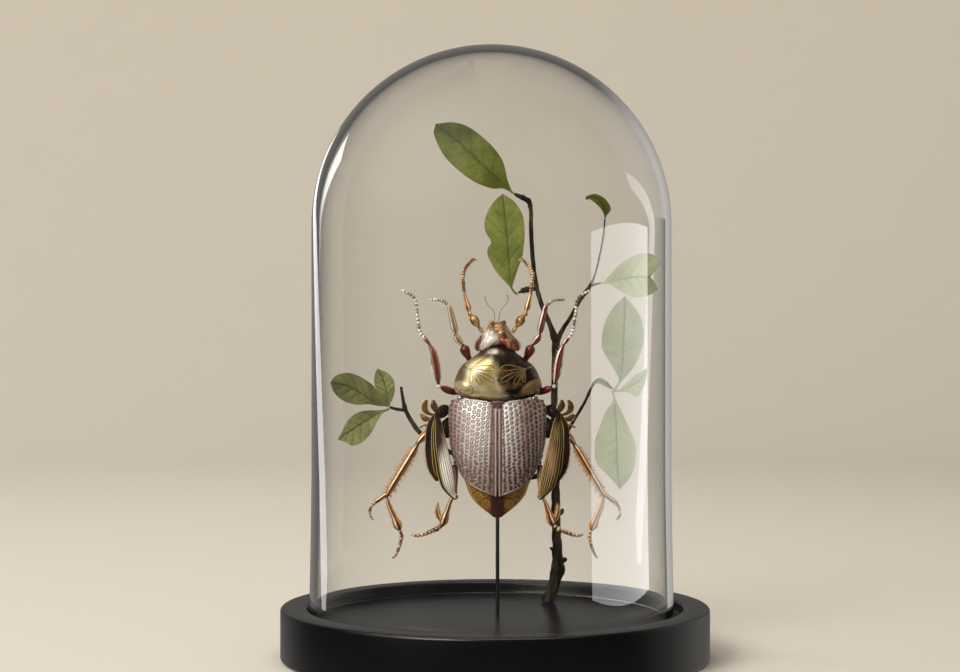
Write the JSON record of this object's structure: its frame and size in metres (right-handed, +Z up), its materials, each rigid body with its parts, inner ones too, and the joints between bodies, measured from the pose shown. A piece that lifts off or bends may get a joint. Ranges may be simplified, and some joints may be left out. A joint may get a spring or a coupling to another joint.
{
  "type": "insect in glass dome",
  "caption": "Gold and copper beetle on an upright pin with a leafy twig, under a clear glass dome on a round black base.",
  "frame": {"origin": "centre of the base's underside", "axes": "+Z up along the dome, the beetle's back faces -Y"},
  "size_m": [0.143, 0.143, 0.204],
  "materials": {
    "black_wood": "turned wood, satin black",
    "clear_glass": "clear blown glass",
    "dark_steel": "dark polished steel rod",
    "head_chitin": "glossy chitin, silver to copper red",
    "gold_chitin": "glossy engraved chitin, gold to dark brown",
    "silver_chitin": "pinkish silver chitin with rows of dark pits",
    "dark_chitin": "dark red brown chitin with olive gold rings",
    "copper_chitin": "glossy copper chitin",
    "red_chitin": "glossy dark red chitin",
    "ribbed_chitin": "ribbed black and gold chitin",
    "bark": "rough dark bark",
    "leaf": "matt olive green leaf with fine veins"
  },
  "bodies": {
    "root": {"wooden_base": "black_wood", "glass_dome": "clear_glass", "pin": "dark_steel", "head": "head_chitin", "pronotum": "gold_chitin", "scutellum": "silver_chitin", "left_elytron": "silver_chitin", "right_elytron": "silver_chitin", "abdomen": "dark_chitin", "left_antenna": "copper_chitin", "right_antenna": "copper_chitin", "left_front_leg": "red_chitin", "right_front_leg": "red_chitin", "left_middle_leg": "red_chitin", "right_middle_leg": "red_chitin", "left_hind_leg": "ribbed_chitin", "right_hind_leg": "ribbed_chitin", "left_outer_leg": "copper_chitin", "right_outer_leg": "copper_chitin", "twig_trunk": "bark", "twig_main_arm": "bark", "twig_right_arm": "bark", "twig_lower_left": "bark", "twig_lower_right": "bark", "leaf_top_left": "leaf", "leaf_below_tip": "leaf", "leaf_curled": "leaf", "leaf_notched": "leaf", "leaf_right_upright": "leaf", "leaf_right_small": "leaf", "leaf_right_stub": "leaf", "leaf_right_hanging": "leaf", "leaf_left_long": "leaf", "leaf_left_upper": "leaf", "leaf_left_lower": "leaf"}
  },
  "joints": []
}
